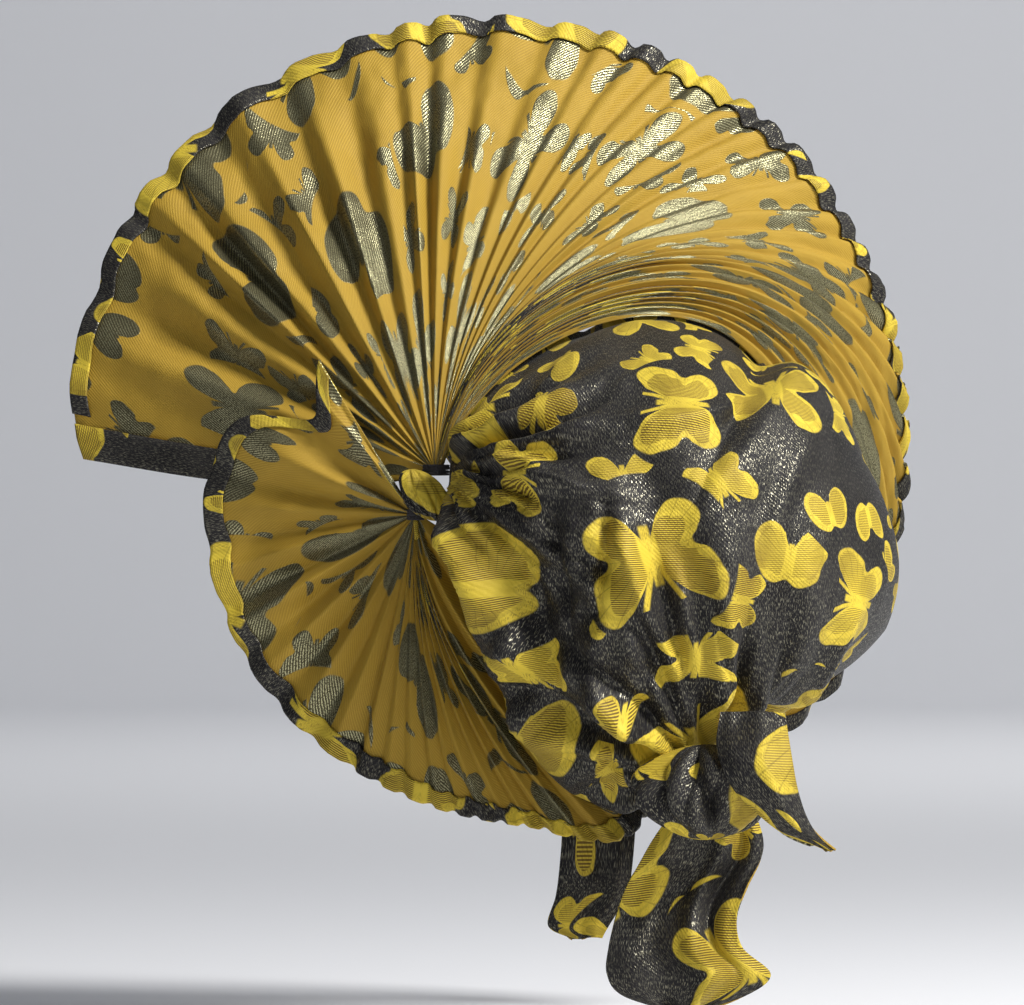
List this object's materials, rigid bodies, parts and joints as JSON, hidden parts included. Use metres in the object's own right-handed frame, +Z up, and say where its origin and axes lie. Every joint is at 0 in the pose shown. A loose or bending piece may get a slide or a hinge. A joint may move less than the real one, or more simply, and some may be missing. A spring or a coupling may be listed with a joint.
{
  "type": "tied gele head tie",
  "caption": "Tied head wrap with a pleated fan brim, a draped cap, a side fan, a nape knot and hanging tails, in gold and black butterfly brocade.",
  "frame": {"origin": "top of the open hollow, where the wrap sits on the crown of the head", "axes": "+Z up, -Y the way the wearer faces, +X to the wearer's left"},
  "size_m": [0.4155, 0.3328, 0.4991],
  "materials": {
    "reverse_gold": "mustard jacquard reverse with dark lurex butterflies",
    "face_black": "black lurex jacquard with yellow-gold butterflies",
    "hem_black": "turned-over face side of the cloth",
    "thread": "matt black binding thread"
  },
  "bodies": {
    "root": {"brim_fan": "reverse_gold", "brim_hem": "hem_black", "end_band": "hem_black", "side_fan": "reverse_gold", "side_fan_hem": "hem_black", "cap": "face_black", "brim_tie": "thread", "side_tie": "thread", "gather_neck": "face_black", "nape_knot": "face_black", "nape_flap": "face_black", "tail_strip": "face_black", "tail_loop": "face_black"}
  },
  "joints": []
}
